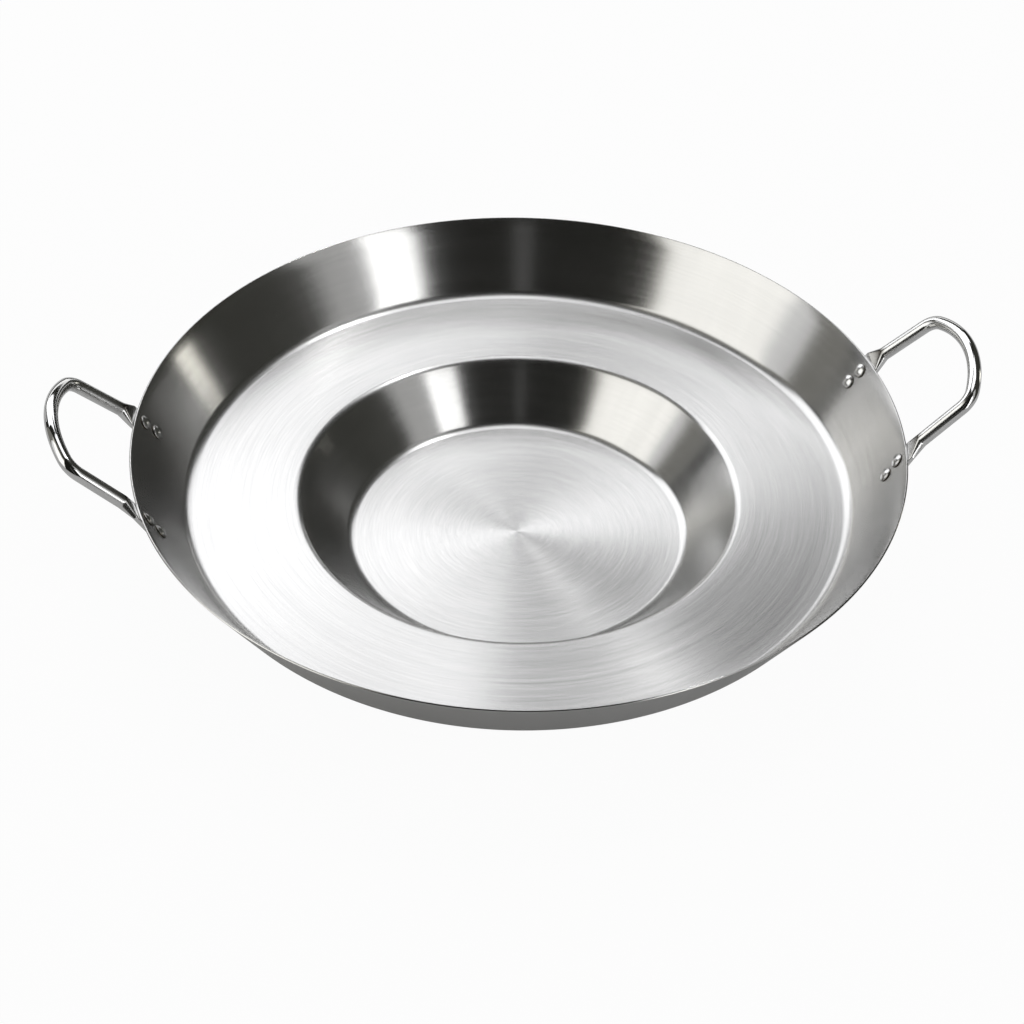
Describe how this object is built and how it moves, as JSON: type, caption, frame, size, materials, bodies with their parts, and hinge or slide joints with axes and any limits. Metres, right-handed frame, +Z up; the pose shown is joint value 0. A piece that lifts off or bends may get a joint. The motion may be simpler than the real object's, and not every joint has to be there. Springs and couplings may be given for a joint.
{
  "type": "two-handled concave comal",
  "caption": "Round stainless steel cooking pan with a flared wall, a flat ring and a deep central well, and a riveted rod loop handle on each side.",
  "frame": {"origin": "middle of the flat underside of the well, which the pan stands on", "axes": "+Z up, out of the pan; +X from the left handle to the right handle; +Y from the front of the picture to its rear"},
  "size_m": [0.6668, 0.5588, 0.1497],
  "materials": {
    "pan_steel": "brushed in rings, satin",
    "handle_steel": "mirror polished",
    "rivet_steel": "polished"
  },
  "bodies": {
    "root": {"pan_body": "pan_steel", "left_handle": "handle_steel", "right_handle": "handle_steel", "rivet_left_rear_upper": "rivet_steel", "rivet_left_rear_lower": "rivet_steel", "rivet_left_front_upper": "rivet_steel", "rivet_left_front_lower": "rivet_steel", "rivet_right_rear_upper": "rivet_steel", "rivet_right_rear_lower": "rivet_steel", "rivet_right_front_upper": "rivet_steel", "rivet_right_front_lower": "rivet_steel"}
  },
  "joints": []
}
